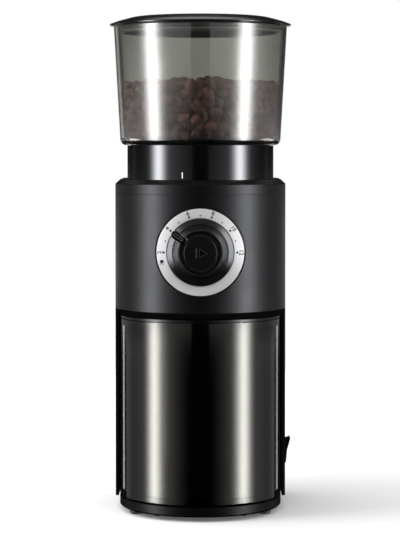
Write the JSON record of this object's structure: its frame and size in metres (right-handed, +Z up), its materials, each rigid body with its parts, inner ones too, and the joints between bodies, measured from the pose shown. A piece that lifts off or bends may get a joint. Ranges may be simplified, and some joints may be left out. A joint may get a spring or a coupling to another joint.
{
  "type": "burr coffee grinder",
  "caption": "Upright electric conical burr coffee grinder with a turning bean hopper, quantity dial and slide-out grounds container.",
  "frame": {"origin": "centre of the footprint, on the burr axis, at the surface that the feet stand on", "axes": "+Z up along the burr and hopper axis; -Y is the front with the dial; +X is the grinder's right-hand side seen from the front, with the power rocker"},
  "size_m": [0.1318, 0.1531, 0.3539],
  "materials": {
    "housing_black": "fine matte texture, satin",
    "base_black": "satin",
    "gloss_black": "polished",
    "lid_black": "satin gloss",
    "smoked_clear": "polished smoked clear plastic",
    "smoked_lid": "smoked, polished",
    "clear_silicone": "translucent",
    "rubber_black": "matte",
    "dial_silver": "circular brushed",
    "knob_black": "satin",
    "burr_steel": "ground",
    "screw_steel": "zinc plated",
    "gear_nylon": "moulded",
    "bronze": "sintered",
    "motor_steel": "zinc plated",
    "magnet_grey": "sintered",
    "inner_grey": "moulded",
    "board_green": "solder mask",
    "component_dark": "moulded",
    "contact_brass": "stamped",
    "roasted_bean": "roasted, slightly oily"
  },
  "bodies": {
    "housing": {"base_tray": "base_black", "bottom_plate": "inner_grey", "rubber_feet": "rubber_black", "base_screws": "screw_steel", "rear_column": "housing_black", "container_cradle": "gloss_black", "power_board": "board_green", "board_screws": "screw_steel", "power_components": "component_dark", "switch_body": "base_black", "switch_blades": "contact_brass", "cord_gland": "rubber_black", "column_screws": "screw_steel", "housing_screws": "screw_steel", "upper_housing": "housing_black", "top_cover": "housing_black", "grind_chamber": "inner_grey", "hub_bush": "bronze", "chute": "inner_grey", "chute_gasket": "rubber_black", "gearbox_case": "inner_grey", "gearbox_cover": "inner_grey", "idler_axle": "screw_steel", "rubber_mounts": "rubber_black", "mount_screws": "screw_steel", "chamber_screws": "screw_steel", "motor_can": "motor_steel", "motor_screws": "screw_steel", "motor_magnets": "magnet_grey", "motor_end_cap": "inner_grey", "dial_plate": "dial_silver", "button_guide": "component_dark", "rotary_selector": "component_dark", "control_board": "board_green", "start_contact": "component_dark", "interlock_switches": "component_dark", "carrier_spring": "screw_steel", "button_spring": "screw_steel"},
    "neck": {"adjust_neck": "gloss_black"},
    "carrier": {"burr_carrier": "inner_grey", "ring_burr": "burr_steel"},
    "hopper": {"hopper_bowl": "smoked_clear", "coffee_beans": "roasted_bean"},
    "lid": {"hopper_lid": "smoked_lid", "lid_seal": "clear_silicone"},
    "container": {"grounds_container": "smoked_clear", "container_lid": "lid_black"},
    "dial": {"dial_knob": "knob_black", "knob_pointer": "gloss_black"},
    "button": {"start_button": "knob_black"},
    "rocker": {"power_rocker": "base_black"},
    "spindle": {"cone_burr": "burr_steel", "burr_bolt": "screw_steel", "burr_shaft": "screw_steel", "sweeper": "gear_nylon", "burr_gear": "gear_nylon"},
    "idler": {"idler_gear": "gear_nylon"},
    "rotor": {"motor_armature": "motor_steel", "motor_pinion": "bronze"}
  },
  "joints": [
    {"name": "lid_lift", "type": "slide", "parent": "hopper", "child": "lid", "axis": [0, 0, 1], "range_m": [0, 0.06]},
    {"name": "hopper_lift", "type": "slide", "parent": "neck", "child": "hopper", "axis": [0, 0, 1], "range_m": [0, 0.06]},
    {"name": "grind_adjust", "type": "hinge", "parent": "housing", "child": "neck", "pos_m": [0, 0, 0.2372], "axis": [0, 0, 1], "range_deg": [-75, 60]},
    {"name": "carrier_rise", "type": "slide", "parent": "housing", "child": "carrier", "axis": [0, 0, 1], "range_m": [-0.0005, 0.0005], "deforming": ["carrier_spring"]},
    {"name": "dial_turn", "type": "hinge", "parent": "housing", "child": "dial", "pos_m": [0, -0.0625, 0.1877], "axis": [0, 1, 0], "range_deg": [-36, 144]},
    {"name": "start_press", "type": "slide", "parent": "housing", "child": "button", "axis": [0, 1, 0], "range_m": [0, 0.002], "stiffness_N_per_m": 400, "springref_m": -0.001, "deforming": ["button_spring"]},
    {"name": "power_toggle", "type": "hinge", "parent": "housing", "child": "rocker", "pos_m": [0.06, 0.05085, 0.03575], "axis": [0, 1, 0], "range_deg": [-20.4, 0]},
    {"name": "container_slide", "type": "slide", "parent": "housing", "child": "container", "axis": [0, -1, 0], "range_m": [0, 0.14]},
    {"name": "burr_spin", "type": "hinge", "parent": "housing", "child": "spindle", "pos_m": [0, 0, 0.17], "axis": [0, 0, 1], "continuous": true},
    {"name": "idler_spin", "type": "hinge", "parent": "housing", "child": "idler", "pos_m": [0.01698, 0.03061, 0.155], "axis": [0, 0, 1], "continuous": true},
    {"name": "motor_spin", "type": "hinge", "parent": "housing", "child": "rotor", "pos_m": [0, 0.0535, 0.16], "axis": [0, 0, 1], "continuous": true}
  ],
  "couplings": [
    {"joint": "carrier_rise", "follows": "grind_adjust", "m_per_rad": 0.00031831},
    {"joint": "idler_spin", "follows": "burr_spin", "ratio": -3},
    {"joint": "motor_spin", "follows": "burr_spin", "ratio": 11.25}
  ]
}
